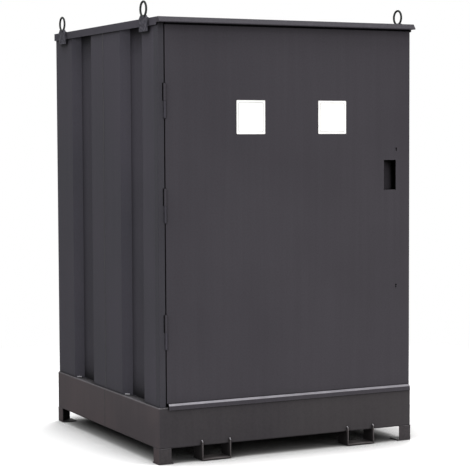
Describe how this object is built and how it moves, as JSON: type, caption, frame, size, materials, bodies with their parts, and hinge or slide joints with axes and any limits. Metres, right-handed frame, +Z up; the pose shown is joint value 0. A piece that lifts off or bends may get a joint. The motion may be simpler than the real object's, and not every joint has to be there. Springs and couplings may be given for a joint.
{
  "type": "drum storage cabinet",
  "caption": "Steel drum storage cabinet on a spill sump, with a hinged door, deadlocks, lift-out gratings, fork pockets, feet and lifting eyes.",
  "frame": {"origin": "on the floor under the middle of the whole, with the feet at Z = 0", "axes": "+Z up; the door faces -Y; +X is to the right seen from the front"},
  "size_m": [1.3482, 1.347, 2.08],
  "materials": {
    "body_paint": "dark grey powder coat, satin",
    "door_paint": "dark grey powder coat, satin",
    "sump_paint": "dark grey powder coat, satin",
    "galvanised_steel": "hot dip galvanised",
    "bright_steel": "bright drawn steel",
    "zinc_plate": "zinc plated steel",
    "seal_rubber": "matt black rubber"
  },
  "bodies": {
    "cabinet": {"foot_front_left": "sump_paint", "foot_front_right": "sump_paint", "foot_rear_left": "sump_paint", "foot_rear_right": "sump_paint", "fork_loop_front_left": "sump_paint", "fork_loop_front_right": "sump_paint", "fork_loop_rear_left": "sump_paint", "fork_loop_rear_right": "sump_paint", "sump_tub": "sump_paint", "grating_bearer_front": "galvanised_steel", "grating_bearer_middle": "galvanised_steel", "grating_bearer_rear": "galvanised_steel", "side_wall_left_front": "body_paint", "side_wall_left_rear": "body_paint", "side_wall_right_front": "body_paint", "side_wall_right_rear": "body_paint", "rear_wall_left": "body_paint", "rear_wall_right": "body_paint", "rear_vent_left_low": "body_paint", "rear_vent_left_high": "body_paint", "rear_vent_right_low": "body_paint", "rear_vent_right_high": "body_paint", "hinge_post": "body_paint", "lock_post": "body_paint", "door_header": "body_paint", "door_sill": "body_paint", "roof_tray": "body_paint", "roof_bearer_front": "galvanised_steel", "roof_bearer_rear": "galvanised_steel", "canopy": "body_paint", "lifting_plate_front_left": "body_paint", "lifting_plate_front_right": "body_paint", "lifting_plate_rear_left": "body_paint", "lifting_plate_rear_right": "body_paint", "lifting_ring_front_left": "body_paint", "lifting_ring_front_right": "body_paint", "lifting_ring_rear_left": "body_paint", "lifting_ring_rear_right": "body_paint", "hinge_knuckle_post_lower": "body_paint", "hinge_knuckle_post_middle": "body_paint", "hinge_knuckle_post_upper": "body_paint", "hinge_pin_lower": "bright_steel", "hinge_pin_middle": "bright_steel", "hinge_pin_upper": "bright_steel"},
    "door": {"door_skin": "door_paint", "door_stiffener_1": "door_paint", "door_stiffener_2": "door_paint", "door_stiffener_3": "door_paint", "door_seal": "seal_rubber", "door_skirt": "door_paint", "handle_pocket": "door_paint", "lock_case_lower": "zinc_plate", "lock_case_upper": "zinc_plate", "hinge_knuckle_door_lower": "door_paint", "hinge_knuckle_door_middle": "door_paint", "hinge_knuckle_door_upper": "door_paint"},
    "lower_bolt": {"lock_bolt_lower": "bright_steel"},
    "upper_bolt": {"lock_bolt_upper": "bright_steel"},
    "left_grating": {"grating_left": "galvanised_steel"},
    "right_grating": {"grating_right": "galvanised_steel"}
  },
  "joints": [
    {"name": "door_hinge", "type": "hinge", "parent": "cabinet", "child": "door", "pos_m": [-0.624, -0.6315, 1.1], "axis": [0, 0, -1], "range_deg": [0, 105]},
    {"name": "lower_bolt_throw", "type": "slide", "parent": "door", "child": "lower_bolt", "axis": [1, 0, 0], "range_m": [0, 0.022]},
    {"name": "upper_bolt_throw", "type": "slide", "parent": "door", "child": "upper_bolt", "axis": [1, 0, 0], "range_m": [0, 0.022]},
    {"name": "left_grating_lift", "type": "slide", "parent": "cabinet", "child": "left_grating", "axis": [0, 0, 1], "range_m": [0, 0.25]},
    {"name": "right_grating_lift", "type": "slide", "parent": "cabinet", "child": "right_grating", "axis": [0, 0, 1], "range_m": [0, 0.25]}
  ]
}
